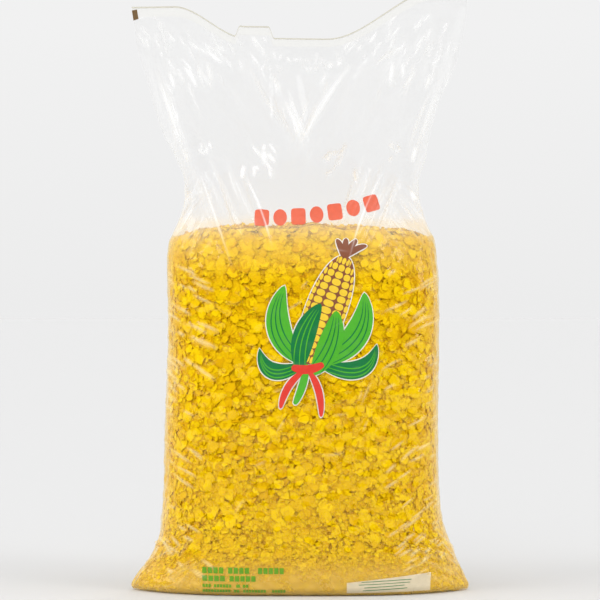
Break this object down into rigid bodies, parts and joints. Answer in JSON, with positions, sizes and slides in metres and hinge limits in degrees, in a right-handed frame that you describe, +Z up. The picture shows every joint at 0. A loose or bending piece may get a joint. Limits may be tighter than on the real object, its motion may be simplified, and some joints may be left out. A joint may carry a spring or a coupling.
{
  "type": "clear bulk bag of corn flakes",
  "caption": "Sealed clear film sack standing on a bulging filled base, with golden flakes below and a flat, crumpled, flared film head welded across the top.",
  "frame": {"origin": "middle of the flat base, on the surface that the bag stands on", "axes": "+Z up towards the welded top edge, -Y towards the printed front, +X to the right as seen from the front"},
  "size_m": [0.4958, 0.2296, 0.885],
  "materials": {
    "bag": "golden corn flakes seen through glossy clear film",
    "film": "clear glossy polythene film, creased",
    "flakes": "toasted corn flakes, satin, golden yellow with amber edges",
    "print": "flat printed inks on the film"
  },
  "bodies": {
    "root": {"bag": "bag"}
  },
  "joints": []
}
